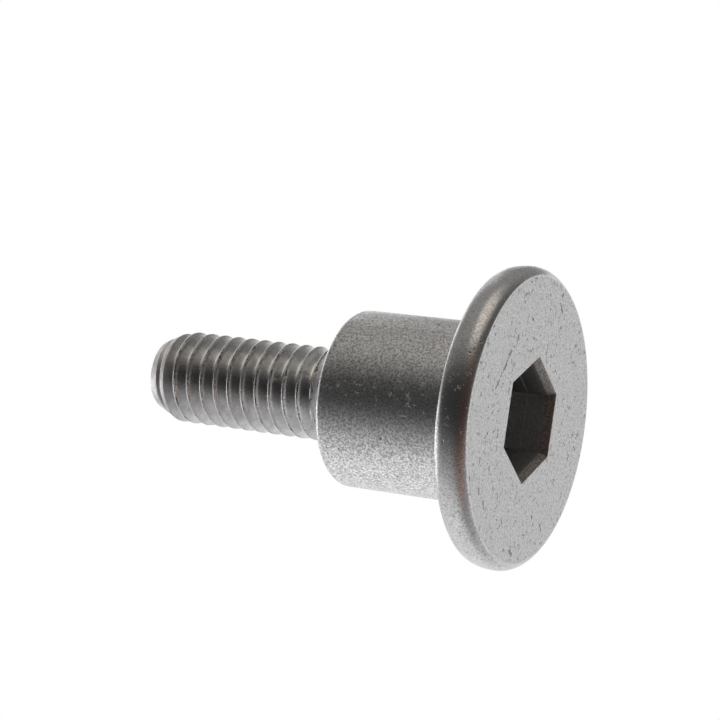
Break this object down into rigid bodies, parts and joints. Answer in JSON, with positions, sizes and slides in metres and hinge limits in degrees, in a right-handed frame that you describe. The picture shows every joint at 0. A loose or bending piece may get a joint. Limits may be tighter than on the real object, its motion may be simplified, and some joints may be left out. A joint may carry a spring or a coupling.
{
  "type": "shoulder bolt",
  "caption": "Shoulder bolt with a thin flat disc head, a hexagon socket, a plain cylindrical shoulder and a metric thread; holds a lever or bush that swings or slides on the shoulder",
  "frame": {"origin": "centre of the head's flat face, on the bolt's axis", "axes": "+Z runs along the axis from the head's face to the threaded tip; X runs through two corners of the hexagon socket"},
  "size_m": [0.0182, 0.0182, 0.0257],
  "materials": {
    "coated_steel": "matt silver-grey zinc flake coating, finely grained, with small dark pits and scratches"
  },
  "bodies": {
    "root": {"shoulder_bolt": "coated_steel"}
  },
  "joints": []
}
